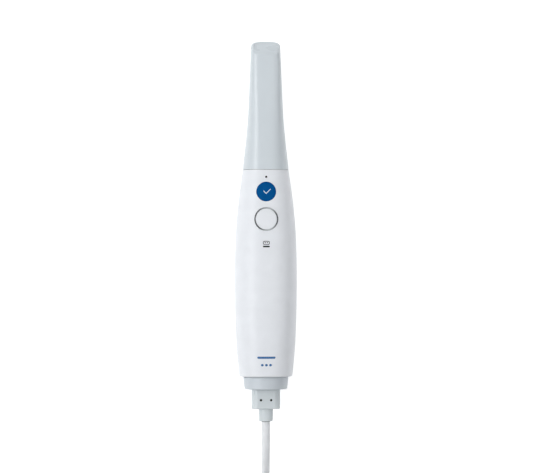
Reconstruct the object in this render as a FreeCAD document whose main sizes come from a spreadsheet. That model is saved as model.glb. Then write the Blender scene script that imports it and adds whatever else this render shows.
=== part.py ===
import FreeCAD, Part
import math
import os
import Sketcher
from FreeCAD import Placement, Rotation, Vector

# A hand-held intraoral scanner with its cable, in millimetres. It lies on its back:
# +Z points out of the button side, +Y towards the tip, +X to the right, and z = 0 is
# the surface that it rests on. y = 0 is halfway between the tip's end and the rear cap.

SIZES = {
    "axis_height": 24.7,
    "tip_end": 124.0,
    "tip_joint": 32.2,
    "shell_rear": -114.9,
    "cap_rear": -124.0,
    "plug_rear": -138.1,
    "boot_rear": -147.0,
    "shell_wall": 1.8,
    "end_wall": 2.0,
    "shell_edge": 1.2,
    "rear_opening": 32.6,
    "cap_end_width": 30.4,
    "cap_hollow_width": 27.2,
    "cap_taper": 0.2,
    "cap_edge": 1.1,
    "groove_width": 0.9,
    "groove_depth": 1.1,
    "seam_gap": 0.2,
    "gasket_height": 1.0,
    "gasket_inset": 0.5,
    "gasket_depth": 0.7,
    "tip_wall": 1.4,
    "tip_edge": 2.0,
    "tip_corner": 4.2,
    "tip_bow": 1.2,
    "bevel_start": 1.65,
    "socket_size": 27.3,
    "socket_depth": 10.0,
    "boss_size": 27.0,
    "boss_corner": 9.0,
    "barrel_width": 21.8,
    "barrel_height": 17.4,
    "barrel_front": 62.0,
    "bore_width": 19.0,
    "bore_height": 14.6,
    "glass_width": 20.4,
    "glass_height": 16.0,
    "window_width": 15.0,
    "window_rear": 104.0,
    "window_front": 119.5,
    "panel_tilt": 5.5,
    "confirm_along": 16.7,
    "confirm_width": 13.9,
    "scan_along": -2.8,
    "scan_top": 45.1,
    "scan_width": 14.8,
    "ring_outer": 16.9,
    "ring_inner": 15.1,
    "cap_depth": 3.4,
    "cap_flange": 0.6,
    "cap_rise": 0.3,
    "ring_rise": 0.35,
    "confirm_rise": 0.15,
    "plunger_length": 1.7,
    "switch_depth": 8.3,
    "light_along": 27.1,
    "light_width": 1.6,
    "chassis_width": 24.0,
    "chassis_top": 16.7,
    "chassis_thick": 2.0,
    "board_width": 22.0,
    "board_thick": 1.6,
    "standoff_height": 3.0,
    "camera_offset": 6.7,
    "camera_width": 5.2,
    "projector_width": 7.6,
    "fan_size": 25.0,
    "fan_bore": 23.0,
    "fan_depth": 8.0,
    "fan_shaft": 1.5,
    "plug_width": 20.35,
    "plug_height": 13.5,
    "plug_corner": 5.0,
    "tongue_width": 15.0,
    "tongue_height": 7.0,
    "screw_offset": 3.6,
    "screw_along": -131.7,
    "screw_width": 1.75,
    "boot_width": 10.0,
    "boot_edge": 0.8,
    "cable_width": 5.8,
    "hank_centre": -284.4,
    "fold_radius": 18.0,
    "waist_radius": 26.0,
    "waist_half": 3.2,
    "lane_pitch": 5.95,
    "layer_pitch": 5.9,
    "hank_layers": 3.0,
    "tie_width": 12.0,
    "grip_width": 13.0,
    "grip_height": 8.0,
    "grip_length": 24.0,
}

# Cross sections of the outer form: distance along Y, half width, rise above the axis,
# drop below it, and the power of the superellipse.
BODY_SECTIONS = [
    (32.2, 16.4, 16.6, 16.6, 2.4),
    (16.0, 18.7, 18.6, 19.5, 2.4),
    (-4.0, 20.85, 20.5, 22.0, 2.4),
    (-26.0, 22.0, 22.0, 23.9, 2.4),
    (-50.0, 22.2, 22.7, 24.9, 2.4),
    (-75.0, 21.75, 22.5, 24.6, 2.4),
    (-95.0, 20.8, 21.3, 22.6, 2.4),
    (-114.9, 18.9, 19.0, 19.4, 2.4),
]
TIP_SECTIONS = [
    (32.45, 16.4, 16.6, 16.6, 2.4),
    (50.0, 14.5, 14.3, 14.0, 2.5),
    (68.0, 12.85, 12.1, 11.6, 2.7),
    (88.0, 11.8, 10.2, 9.7, 3.0),
    (106.0, 11.05, 8.7, 8.3, 3.3),
    (124.0, 10.3, 7.8, 7.95, 3.5),
]
SECTION_POINTS = 28
SECTION_START = -50.0

# Points of the cable's free stretch, from the boot down to the surface and out to the
# side of the hank, and of its last stretch over the hank to the hub plug.
LEAD_ROUTE = [
    (0.0, -147.0, 24.7),
    (0.0, -162.0, 24.7),
    (0.0, -178.0, 17.6),
    (0.0, -191.4, 6.6),
    (0.2, -206.4, 2.95),
    (5.8, -220.3, 2.95),
    (16.0, -230.7, 2.95),
    (22.4, -243.4, 2.95),
]
TAIL_ROUTE = [
    (-3.4, -296.4, 14.9),
    (-3.3, -286.4, 16.4),
    (-2.8, -276.9, 18.8),
    (-1.9, -267.4, 21.4),
    (-1.0, -258.9, 21.9),
    (-1.0, -250.4, 21.9),
]

doc = FreeCAD.newDocument("scanner")
pieces = []


# ---------------------------------------------------------------- sheet and sizes

class Size:
    """A length together with the sheet expression that it comes from."""

    def __init__(self, value, text=None):
        self.value = float(value)
        self.text = text or "(%r)" % float(value)

    def joined(self, sign, other, value):
        return Size(value, "(%s %s %s)" % (self.text, sign, other.text))

    def __add__(self, other):
        other = as_size(other)
        return self.joined("+", other, self.value + other.value)

    def __radd__(self, other):
        return as_size(other) + self

    def __sub__(self, other):
        other = as_size(other)
        return self.joined("-", other, self.value - other.value)

    def __rsub__(self, other):
        return as_size(other) - self

    def __mul__(self, other):
        other = as_size(other)
        return self.joined("*", other, self.value * other.value)

    def __rmul__(self, other):
        return as_size(other) * self

    def __truediv__(self, other):
        other = as_size(other)
        return self.joined("/", other, self.value / other.value)

    def __neg__(self):
        return as_size(0) - self


def as_size(value):
    return value if isinstance(value, Size) else Size(value)


def fill_sheet():
    sheet = doc.addObject("Spreadsheet::Sheet", "sizes")
    cells = dict(SIZES)
    for name, sections in (("body", BODY_SECTIONS), ("tip", TIP_SECTIONS)):
        for index, section in enumerate(sections):
            for field, value in zip(("along", "half", "rise", "drop", "power"), section):
                cells["%s_section_%s_%s" % (name, "abcdefgh"[index], field)] = value
    for row, (alias, value) in enumerate(cells.items(), start=1):
        sheet.set("A%d" % row, alias)
        sheet.set("B%d" % row, repr(value))
        sheet.setAlias("B%d" % row, alias)
    doc.recompute()
    return sheet


sheet = fill_sheet()


def size(alias):
    return Size(sheet.get(alias), "sizes.%s" % alias)


def bind(thing, path, value):
    thing.setExpression(path, as_size(value).text)


def place(thing, at=(0, 0, 0), tilt=0):
    """Put a thing at a point, leaning its Z axis towards +Y by the tilt in degrees."""
    at = [as_size(value) for value in at]
    tilt = as_size(tilt)
    turn = Rotation(Vector(-1, 0, 0), tilt.value)
    thing.Placement = Placement(Vector(*[value.value for value in at]), turn)
    for axis, value in zip("xyz", at):
        bind(thing, "Placement.Base.%s" % axis, value)
    if tilt.value:
        bind(thing, "Placement.Rotation.Angle", tilt)


def keep(thing):
    """Count a finished sub-part among those that are written out."""
    pieces.append(thing)
    return thing


# ---------------------------------------------------------------- sketches

def pin(sketch, geometry, end, u, v):
    """Hold one point of a sketch at its distances from the sketch's origin."""
    for kind, axis, value in (("DistanceX", -2, as_size(u)), ("DistanceY", -1, as_size(v))):
        if value.value == 0:
            sketch.addConstraint(Sketcher.Constraint("PointOnObject", geometry, end, axis))
            continue
        index = sketch.addConstraint(Sketcher.Constraint(kind, -1, 1, geometry, end, value.value))
        if "sizes." in value.text:
            bind(sketch, "Constraints[%d]" % index, value)


def circle(diameter, u=0, v=0):
    def draw(sketch):
        wide = as_size(diameter)
        centre = Vector(as_size(u).value, as_size(v).value, 0)
        ring = sketch.addGeometry(Part.Circle(centre, Vector(0, 0, 1), wide.value / 2), False)
        pin(sketch, ring, 3, u, v)
        index = sketch.addConstraint(Sketcher.Constraint("Diameter", ring, wide.value))
        bind(sketch, "Constraints[%d]" % index, wide)
    return draw


def polygon(points):
    def draw(sketch):
        corners = [(as_size(u), as_size(v)) for u, v in points]
        flat = [Vector(u.value, v.value, 0) for u, v in corners]
        first = sketch.GeometryCount
        for start, end in zip(flat, flat[1:] + flat[:1]):
            sketch.addGeometry(Part.LineSegment(start, end), False)
        for index, (u, v) in enumerate(corners):
            before = first + (index - 1) % len(corners)
            sketch.addConstraint(Sketcher.Constraint("Coincident", before, 2, first + index, 1))
            pin(sketch, first + index, 1, u, v)
    return draw


def rectangle(width, height, u=0, v=0):
    left = as_size(u) - as_size(width) / 2
    right = as_size(u) + as_size(width) / 2
    low = as_size(v) - as_size(height) / 2
    high = as_size(v) + as_size(height) / 2
    return polygon([(left, low), (right, low), (right, high), (left, high)])


def rounded(width, height, radius, u=0, v=0):
    """A rectangle whose corners are arcs tangent to its sides."""
    def draw(sketch):
        wide, high, round_ = as_size(width), as_size(height), as_size(radius)
        middle_u, middle_v = as_size(u), as_size(v)
        right, top = wide.value / 2, high.value / 2
        inner_u, inner_v = right - round_.value, top - round_.value
        centre = Vector(middle_u.value, middle_v.value, 0)
        first = sketch.GeometryCount
        sides = [
            ((-inner_u, -top), (inner_u, -top)),
            ((right, -inner_v), (right, inner_v)),
            ((inner_u, top), (-inner_u, top)),
            ((-right, inner_v), (-right, -inner_v)),
        ]
        corners = [(inner_u, -inner_v), (inner_u, inner_v), (-inner_u, inner_v), (-inner_u, -inner_v)]
        for index, (start, end) in enumerate(sides):
            line = Part.LineSegment(centre + Vector(*start, 0), centre + Vector(*end, 0))
            sketch.addGeometry(line, False)
            arc_circle = Part.Circle(centre + Vector(*corners[index], 0), Vector(0, 0, 1), round_.value)
            begin = math.radians(-90 + 90 * index)
            sketch.addGeometry(Part.ArcOfCircle(arc_circle, begin, begin + math.pi / 2), False)
        for index in range(4):
            line = first + 2 * index
            arc = line + 1
            following = first + (2 * index + 2) % 8
            sketch.addConstraint(Sketcher.Constraint("Tangent", line, 2, arc, 1))
            sketch.addConstraint(Sketcher.Constraint("Tangent", arc, 2, following, 1))
            kind = "Horizontal" if index % 2 == 0 else "Vertical"
            sketch.addConstraint(Sketcher.Constraint(kind, line))
            if index:
                sketch.addConstraint(Sketcher.Constraint("Equal", first + 1, arc))
        index = sketch.addConstraint(Sketcher.Constraint("Radius", first + 1, round_.value))
        bind(sketch, "Constraints[%d]" % index, round_)
        limits = [
            ("DistanceY", first, middle_v - high / 2),
            ("DistanceX", first + 2, middle_u + wide / 2),
            ("DistanceY", first + 4, middle_v + high / 2),
            ("DistanceX", first + 6, middle_u - wide / 2),
        ]
        for kind, line, value in limits:
            index = sketch.addConstraint(Sketcher.Constraint(kind, -1, 1, line, 1, value.value))
            bind(sketch, "Constraints[%d]" % index, value)
    return draw


# ---------------------------------------------------------------- part design bodies

PLANES = {"X": "YZ_Plane", "Y": "XZ_Plane", "Z": "XY_Plane"}


def new_body(name, at=(0, 0, 0), tilt=0):
    body = doc.addObject("PartDesign::Body", name)
    body.Label = name
    place(body, at, tilt)
    return keep(body)


def sketch_on(body, plane_role, outlines, lift=0):
    """A sketch of closed outlines on one of the body's own origin planes."""
    plane = next(item for item in body.Origin.OriginFeatures if item.Role == plane_role)
    sketch = body.newObject("Sketcher::SketchObject", "sketch")
    sketch.AttachmentSupport = [(plane, "")]
    sketch.MapMode = "FlatFace"
    bind(sketch, "AttachmentOffset.Base.z", lift)
    for draw in outlines:
        draw(sketch)
    return sketch


def add(body, axis, outlines, low, high):
    """Pad outlines along an axis of the body, from the low to the high coordinate.

    The XZ plane faces -Y, so its offset is turned round and its pad reversed.
    """
    low, high = as_size(low), as_size(high)
    pad = body.newObject("PartDesign::Pad", "pad")
    pad.Profile = sketch_on(body, PLANES[axis], outlines, -low if axis == "Y" else low)
    pad.Reversed = axis == "Y"
    bind(pad, "Length", high - low)
    body.Tip = pad
    return pad


def carve(body, axis, outlines, low, high):
    """Pocket outlines along an axis of the body, from the low to the high coordinate.

    A pocket runs against its sketch's normal: towards +Y from the low end on the XZ
    plane, and downwards from the high end on the other two.
    """
    low, high = as_size(low), as_size(high)
    pocket = body.newObject("PartDesign::Pocket", "pocket")
    pocket.Profile = sketch_on(body, PLANES[axis], outlines, -low if axis == "Y" else high)
    bind(pocket, "Length", high - low)
    body.Tip = pocket
    return pocket


def turned(name, outline):
    """A body turned about the handle's axis from an outline of (radius, distance along Y)."""
    body = new_body(name, (0, 0, AXIS))
    sketch = sketch_on(body, "XY_Plane", [polygon(outline)])
    turn = body.newObject("PartDesign::Revolution", "turn")
    turn.Profile = sketch
    turn.ReferenceAxis = (sketch, ["V_Axis"])
    turn.Angle = 360.0
    body.Tip = turn
    return body


def round_edges(body, radius, wanted):
    """Fillet the edges of the body's last feature that the test picks."""
    doc.recompute()
    base = body.Tip
    names = ["Edge%d" % number for number, edge in enumerate(base.Shape.Edges, start=1) if wanted(edge)]
    fillet = body.newObject("PartDesign::Fillet", "rounding")
    fillet.Base = (base, names)
    bind(fillet, "Radius", radius)
    body.Tip = fillet
    return fillet


# ---------------------------------------------------------------- part primitives

def primitive(kind, name, at=(0, 0, 0), tilt=0, **sizes):
    thing = doc.addObject("Part::%s" % kind, name)
    for path, value in sizes.items():
        bind(thing, path, value)
    place(thing, at, tilt)
    return thing


def box(name, low, high):
    low = [as_size(value) for value in low]
    high = [as_size(value) for value in high]
    sides = [b - a for a, b in zip(low, high)]
    return primitive("Box", name, low, Length=sides[0], Width=sides[1], Height=sides[2])


def along_y(name, diameter, low, high, x=0, z=0):
    """A cylinder along Y: its own Z axis is laid down towards +Y."""
    low, high = as_size(low), as_size(high)
    rod = primitive("Cylinder", name, (x, low, z), 90, Radius=as_size(diameter) / 2, Height=high - low)
    return rod


def combine(kind, name, base, tool):
    thing = doc.addObject("Part::%s" % kind, name)
    thing.Base = base
    thing.Tool = tool
    return thing


def cut(name, base, tool):
    return combine("Cut", name, base, tool)


def common(name, base, tool):
    return combine("Common", name, base, tool)


def fuse(name, shapes):
    thing = doc.addObject("Part::MultiFuse", name)
    thing.Shapes = shapes
    return thing


def form(name, shape, at=(0, 0, 0)):
    """A free form that only its own shape describes, placed after it is shaped."""
    thing = doc.addObject("Part::Feature", name)
    thing.Shape = shape
    place(thing, at)
    return thing


# ---------------------------------------------------------------- shared places

AXIS = size("axis_height")
LEAN = Size(math.sin(math.radians(size("panel_tilt").value)), "sin(sizes.panel_tilt)")
RISE = Size(math.cos(math.radians(size("panel_tilt").value)), "cos(sizes.panel_tilt)")


def panel_point(along, depth):
    """A point under the button panel, the depth measured square to the panel."""
    top = size("scan_top") - (size(along) - size("scan_along")) * LEAN / RISE
    return (0, size(along) - LEAN * depth, top - RISE * depth)


def panel_rod(name, along, diameter, low, high):
    """A rod square to the button panel, from a depth under it to a height above it."""
    low = as_size(low)
    return primitive("Cylinder", name, panel_point(along, low), size("panel_tilt"),
                     Radius=as_size(diameter) / 2, Height=low + high)


def ring_curve(along, half, rise, drop, power):
    """One superelliptic cross section, as a closed smooth curve."""
    height = size("axis_height").value
    points = []
    for index in range(SECTION_POINTS):
        angle = math.radians(SECTION_START + 360.0 * index / SECTION_POINTS)
        c, s = math.cos(angle), math.sin(angle)
        reach = rise if s > 0 else drop
        x = half * math.copysign(abs(c) ** (2 / power), c)
        z = reach * math.copysign(abs(s) ** (2 / power), s)
        points.append(Vector(x, along, height + z))
    curve = Part.BSplineCurve()
    steps = [index / SECTION_POINTS for index in range(SECTION_POINTS + 1)]
    curve.interpolate(Points=points, PeriodicFlag=True, Parameters=steps)
    return Part.Wire([curve.toShape()])


def read_sections(name, count):
    fields = ("along", "half", "rise", "drop", "power")
    return [[sheet.get("%s_section_%s_%s" % (name, "abcdefgh"[index], field)) for field in fields]
            for index in range(count)]


def loft(sections, inset=0.0, first=None, last=None):
    """The form through the sections, drawn in by an inset, with its ends moved if asked."""
    rows = [list(section) for section in sections]
    if first is not None:
        rows[0][0] = first
    if last is not None:
        rows[-1][0] = last
    curves = [ring_curve(along, half - inset, rise - inset, drop - inset, power)
              for along, half, rise, drop, power in rows]
    return Part.makeLoft(curves, True, False, False)


def block_shape(width, height, corner, low, high):
    """A prism along Y about the axis, with rounded corners, for cutting with."""
    side_x, side_z = width / 2 - corner, height / 2 - corner
    middle = size("axis_height").value
    tall = Part.makeBox(2 * side_x, high - low, height, Vector(-side_x, low, middle - height / 2))
    broad = Part.makeBox(width, high - low, 2 * side_z, Vector(-width / 2, low, middle - side_z))
    rods = [Part.makeCylinder(corner, high - low, Vector(x, low, middle + z), Vector(0, 1, 0))
            for x in (-side_x, side_x) for z in (-side_z, side_z)]
    return tall.multiFuse([broad] + rods).removeSplitter()


# ---------------------------------------------------------------- handle shells

def make_hull(name, lift):
    """The handle's outer form, its rear edge rounded and its belly flat at z = 0."""
    sections = read_sections("body", len(BODY_SECTIONS))
    hull = loft(sections)
    rear = [edge for edge in hull.Edges if edge.BoundBox.YMax < size("shell_rear").value + 0.5]
    hull = hull.makeFillet(size("shell_edge").value, rear)
    room = Part.makeBox(100, 400, 100, Vector(-50, -300, 0))
    shift = (0, size(lift) * LEAN, size(lift) * RISE) if lift else (0, 0, 0)
    return form(name, hull.common(room), shift)


def make_shells():
    wall = size("shell_wall").value
    end = size("end_wall").value
    sections = read_sections("body", len(BODY_SECTIONS))
    hull = make_hull("handle_form", None)
    joint = size("tip_joint").value
    rear = size("shell_rear")
    hollow = form("handle_hollow", loft(sections, wall, joint - end, rear.value + end))
    wall_form = cut("handle_wall", hull, hollow)
    boss = size("boss_size").value
    corner = size("boss_corner").value
    opening = form("nose_opening", block_shape(boss, boss, corner, joint - end - 1, joint + 1))
    rear_opening = along_y("rear_hole", size("rear_opening"), rear - 1, rear + end + 1, 0, AXIS)
    inset = size("gasket_inset").value
    depth = size("gasket_depth").value
    half_seal = size("gasket_height").value / 2
    outer = loft(sections, inset)
    inner = loft(sections, inset + depth)
    rim = outer.cut(inner)
    first, last = rear.value + 1.5, joint - 2.6
    slab = Part.makeBox(60, last - first, 2 * half_seal, Vector(-30, first, AXIS.value - half_seal))
    gasket = keep(form("seam_gasket", rim.common(slab)))
    tools = fuse("shell_openings", [opening, rear_opening, gasket])
    open_wall = cut("handle_open_wall", wall_form, tools)
    gap = size("seam_gap") / 2
    upper_room = box("upper_room", (-40, -140, AXIS + gap), (40, 60, 80))
    lower_room = box("lower_room", (-40, -140, -20), (40, 60, AXIS - gap))
    upper = common("upper_wall", open_wall, upper_room)
    keep(common("back_shell", open_wall, lower_room))
    holes = []
    for along, wide in (("scan_along", size("ring_outer")), ("confirm_along", size("confirm_width") + 0.2),
                        ("light_along", size("light_width"))):
        holes.append(panel_rod("panel_hole", along, wide, 6.0, 6.0))
    keep(cut("front_shell", upper, fuse("panel_holes", holes)))


def make_panel():
    """Button caps, ring, mark and status light, all following the shell's own curve."""
    depth = size("cap_depth")
    flange = size("cap_flange")
    scan_rod = panel_rod("scan_rod", "scan_along", size("scan_width"), depth, 5)
    scan_face = common("scan_face", make_hull("scan_form", "cap_rise"), scan_rod)
    scan_flange = panel_rod("scan_flange", "scan_along", size("ring_outer") - 0.8, depth + flange, -depth)
    keep(fuse("scan_button_cap", [scan_face, scan_flange]))

    outside = panel_rod("ring_outside", "scan_along", size("ring_outer"), depth - 0.6, 5)
    inside = panel_rod("ring_inside", "scan_along", size("ring_inner"), depth + 1, 8)
    keep(common("scan_button_ring", make_hull("ring_form", "ring_rise"), cut("ring_tube", outside, inside)))

    stroke = doc.addObject("PartDesign::Body", "mark_stroke")
    place(stroke, panel_point("confirm_along", 0.7), size("panel_tilt"))
    outline = [(-1.76, 0.64), (-0.1, -1.07), (2.91, 1.94), (3.29, 1.56), (-0.1, -1.83), (-2.14, 0.26)]
    add(stroke, "Z", [polygon(outline)], 0, 5)
    confirm_rod = panel_rod("confirm_rod", "confirm_along", size("confirm_width") - 0.1, depth, 5)
    confirm_face = common("confirm_face", make_hull("confirm_form", "confirm_rise"), confirm_rod)
    confirm_flange = panel_rod("confirm_flange", "confirm_along", size("confirm_width") + 1.4,
                               depth + flange, -depth)
    confirm_solid = fuse("confirm_solid", [confirm_face, confirm_flange])
    keep(cut("confirm_button_cap", confirm_solid, stroke))
    keep(common("confirm_button_mark", make_hull("mark_form", "confirm_rise"), stroke))

    light_rod = panel_rod("light_rod", "light_along", size("light_width"), 5.0, 3)
    keep(common("status_light_pipe", make_hull("light_form", None), light_rod))


def make_switches():
    """Plungers under the caps, the two switches, and the board that carries them."""
    top = size("cap_depth") + size("cap_flange")
    low = top + size("plunger_length")
    deep = size("switch_depth")
    solids = []
    for name in ("scan", "confirm"):
        keep(panel_rod(name + "_switch_plunger", name + "_along", 3.0, low, -top))
        case = doc.addObject("PartDesign::Body", name + "_switch")
        place(case, panel_point(name + "_along", deep), size("panel_tilt"))
        add(case, "Z", [rectangle(6.0, 6.0)], 0, 3.0)
        carve(case, "Z", [circle(3.3)], 1.4, 3.0)
        solids.append(case)
    keep(fuse("switch_bodies", solids))
    board = new_body("button_board", panel_point("scan_along", deep + 1.0), size("panel_tilt"))
    add(board, "Z", [rounded(14.0, 34.0, 2.0, 0, 9.0)], 0, 1.0)


# ---------------------------------------------------------------- tip

def end_prism():
    """The tip's plan drawn up into a prism: a bowed end between two rounded corners."""
    end = size("tip_end").value
    half = read_sections("tip", len(TIP_SECTIONS))[-1][1]
    shoulder = end - size("tip_bow").value
    left, right = Vector(-half, shoulder, 0), Vector(half, shoulder, 0)
    root_half, root, height = 24.0, 20.0, 60.0
    root_left, root_right = Vector(-root_half, root, 0), Vector(root_half, root, 0)
    outline = [
        Part.LineSegment(root_left, left).toShape(),
        Part.Arc(left, Vector(0, end, 0), right).toShape(),
        Part.LineSegment(right, root_right).toShape(),
        Part.LineSegment(root_right, root_left).toShape(),
    ]
    prism = Part.Face(Part.Wire(outline)).extrude(Vector(0, 0, height))
    corners = [edge for edge in prism.Edges if edge.BoundBox.ZLength > height - 1
               and edge.BoundBox.XLength < 0.1 and edge.BoundBox.YMin > shoulder - 0.1]
    return prism.makeFillet(size("tip_corner").value, corners)


def make_tip():
    sections = read_sections("tip", len(TIP_SECTIONS))
    end = size("tip_end").value
    start = AXIS.value - size("bevel_start").value
    reach = 60.0
    profile = [(30.0, -10.0), (end, -10.0), (end, start), (end - reach, start + reach), (30.0, start + reach)]
    points = [Vector(-30, y, z) for y, z in profile]
    side = Part.Face(Part.makePolygon(points + points[:1])).extrude(Vector(60, 0, 0))
    outer = loft(sections).common(side)
    front_edges = [edge for edge in outer.Edges if edge.BoundBox.YMin > end - 14.0]
    outer = outer.makeFillet(size("tip_edge").value, front_edges).common(end_prism())

    wall = size("tip_wall").value
    inner_profile = [(y - (2.4 * wall if y > 100 else 0), z) for y, z in profile]
    inner_points = [Vector(-30, y, z) for y, z in inner_profile]
    inner_side = Part.Face(Part.makePolygon(inner_points + inner_points[:1])).extrude(Vector(60, 0, 0))
    duct = loft(sections, wall).common(inner_side)
    mouth = size("tip_joint").value + size("socket_depth").value
    room = Part.makeBox(60, 120, 60, Vector(-30, mouth, AXIS.value - 30))
    duct = duct.common(room)
    socket_size = size("socket_size").value
    socket_corner = size("boss_corner").value + 0.15
    socket = block_shape(socket_size, socket_size, socket_corner, size("tip_joint").value, mouth)
    body_form = form("tip_form", outer)
    duct_form = form("tip_duct", duct)
    socket_form = form("tip_socket", socket)
    window = box("tip_window", (-size("window_width") / 2, size("window_rear"), AXIS - 12),
                 (size("window_width") / 2, size("window_front"), AXIS - 4))
    recess = doc.addObject("PartDesign::Body", "cover_recess")
    place(recess, (0, size("tip_end"), AXIS - size("bevel_start")), 45)
    add(recess, "Z", [rounded(16.6, 9.0, 2.6, 0, -6.7)], -0.7, 3)
    hollow = fuse("tip_hollow", [duct_form, socket_form, window, recess])
    keep(cut("tip_shell", body_form, hollow))

    cover = new_body("tip_end_cover", (0, size("tip_end"), AXIS - size("bevel_start")), 45)
    add(cover, "Z", [rounded(16.4, 8.8, 2.5, 0, -6.7)], -0.7, -0.05)
    mirror = new_body("tip_mirror", (0, size("tip_end"), AXIS - size("bevel_start")), 45)
    depth = 2.4 * size("tip_wall") * math.sqrt(0.5)
    add(mirror, "Z", [rounded(16.0, 10.0, 1.5, 0, -7.6)], -depth - 1.0, -depth)


# ---------------------------------------------------------------- nose and optics

def make_nose():
    nose = new_body("optical_nose", (0, 0, AXIS))
    boss = size("boss_size")
    add(nose, "Y", [rounded(28.0, 28.0, 12.5)], 27.8, 30.2)
    add(nose, "Y", [rounded(boss, boss, size("boss_corner"))], 30.2, 42.0)
    add(nose, "Y", [rounded(size("barrel_width"), size("barrel_height"), 4.8)], 42.0, size("barrel_front"))
    carve(nose, "Y", [rounded(size("bore_width"), size("bore_height"), 3.4)], 27.8, size("barrel_front"))
    glass = rounded(size("glass_width"), size("glass_height"), 4.0)
    carve(nose, "Y", [glass], size("barrel_front") - 1.6, size("barrel_front"))
    carve(nose, "Y", [rounded(boss + 2, boss + 2, 10.0), rounded(boss - 1.4, boss - 1.4, 8.3)], 35.1, 36.9)
    ring = new_body("nose_seal_ring", (0, 0, AXIS))
    inner_ring = rounded(boss - 1.4, boss - 1.4, 8.3)
    add(ring, "Y", [rounded(boss + 0.16, boss + 0.16, 9.08), inner_ring], 35.2, 36.8)
    heater = new_body("window_heater", (0, 0, AXIS))
    front = size("barrel_front")
    add(heater, "Y", [glass, rounded(17.8, 13.4, 2.6)], front - 1.6, front - 1.2)
    window = new_body("nose_window", (0, 0, AXIS))
    add(window, "Y", [glass], front - 1.2, front)


def tube(name, outside, inside, low, high, x=0):
    body = new_body(name, (x, 0, AXIS))
    add(body, "Y", [circle(outside), circle(inside)], low, high)
    return body


def lens(name, diameter, rear, front, x):
    """A lens whose front face bulges: a rod met by a ball."""
    ball = primitive("Sphere", name + "_ball", (x, as_size(front) - diameter * 0.9, AXIS), 0,
                     Radius=diameter * 0.9)
    return common(name, along_y(name + "_rod", diameter, rear, front, x, AXIS), ball)


def make_optics():
    offset = size("camera_offset")
    projector = size("projector_width")
    camera = size("camera_width")
    bench = new_body("optical_bench", (0, 0, AXIS))
    holes = [circle(projector), circle(camera, -offset, 0), circle(camera, offset, 0)]
    add(bench, "Y", [rounded(24.0, 16.0, 3.0)] + holes, 14.0, 22.0)
    tube("projector_barrel", projector, projector - 1.2, 14.0, 48.0)
    keep(lens("projector_lens", projector - 1.2, 44.5, 47.0, 0))
    lenses = []
    for side, place_x in (("left", -offset), ("right", offset)):
        tube(side + "_camera_barrel", camera, camera - 1.0, 14.0, 44.0, place_x)
        lenses.append(lens(side + "_camera_lens", camera - 1.0, 41.4, 43.4, place_x))
    keep(fuse("camera_lenses", lenses))
    boards = []
    for side, place_x in (("left", -offset), ("right", offset)):
        boards.append(box(side + "_sensor_board", (place_x - 2.7, 13.0, AXIS - 4.5),
                          (place_x + 2.7, 14.0, AXIS + 4.5)))
    keep(fuse("sensor_boards", boards))
    engine = new_body("projector_engine", (0, 0, AXIS))
    add(engine, "Y", [rounded(16.0, 11.0, 1.5)], -4.0, 12.0)
    add(engine, "Y", [rectangle(6.6, 6.6)], 12.0, 14.0)
    sink = new_body("heat_sink", (0, 0, AXIS))
    add(sink, "Y", [rounded(16.0, 11.0, 1.0)], -6.0, -4.0)
    fins = [rectangle(15.0, 1.0, 0, step * 2.4) for step in range(-2, 3)]
    add(sink, "Y", fins, -18.0, -6.0)


def make_chassis():
    top = size("chassis_top")
    thick = size("chassis_thick")
    fan_front = size("shell_rear") + size("end_wall") + 2.0 + size("fan_depth")
    chassis = new_body("chassis", (0, 0, top))
    length = 26.0 - fan_front
    middle = (26.0 + fan_front) / 2
    add(chassis, "Z", [rounded(size("chassis_width"), length, 2.0, 0, middle)], -thick, 0)
    slots = [rounded(8.0, 14.0, 2.0, 0, along) for along in (-84.0, -62.0, -40.0)]
    carve(chassis, "Z", slots, -thick, 0)

    board_top = top - thick - size("standoff_height")
    board = new_body("main_board", (0, 0, board_top))
    add(board, "Z", [rounded(size("board_width"), 90.0, 1.5, 0, -47.0)], -size("board_thick"), 0)
    posts = new_body("board_standoffs", (0, 0, board_top))
    corners = [(x, y) for x in (-8.5, 8.5) for y in (-88.0, -6.0)]
    add(posts, "Z", [circle(4.0, x, y) for x, y in corners], 0, size("standoff_height"))
    under = board_top - size("board_thick")
    can = new_body("shield_can", (0, 0, under))
    add(can, "Z", [rounded(17.0, 30.0, 1.0, 0, -34.0)], -1.8, 0)
    chips = []
    for number, (x, y, wide, deep) in enumerate(((-4.0, -62.0, 9.0, 9.0), (5.0, -70.0, 6.0, 8.0),
                                                 (-3.0, -80.0, 12.0, 7.0))):
        low = (x - wide / 2, y - deep / 2, under - 1.2)
        chips.append(box("chip_%s" % "abc"[number], low, (x + wide / 2, y + deep / 2, under)))
    keep(fuse("board_chips", chips))


# ---------------------------------------------------------------- rear cap, fan, socket

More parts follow.
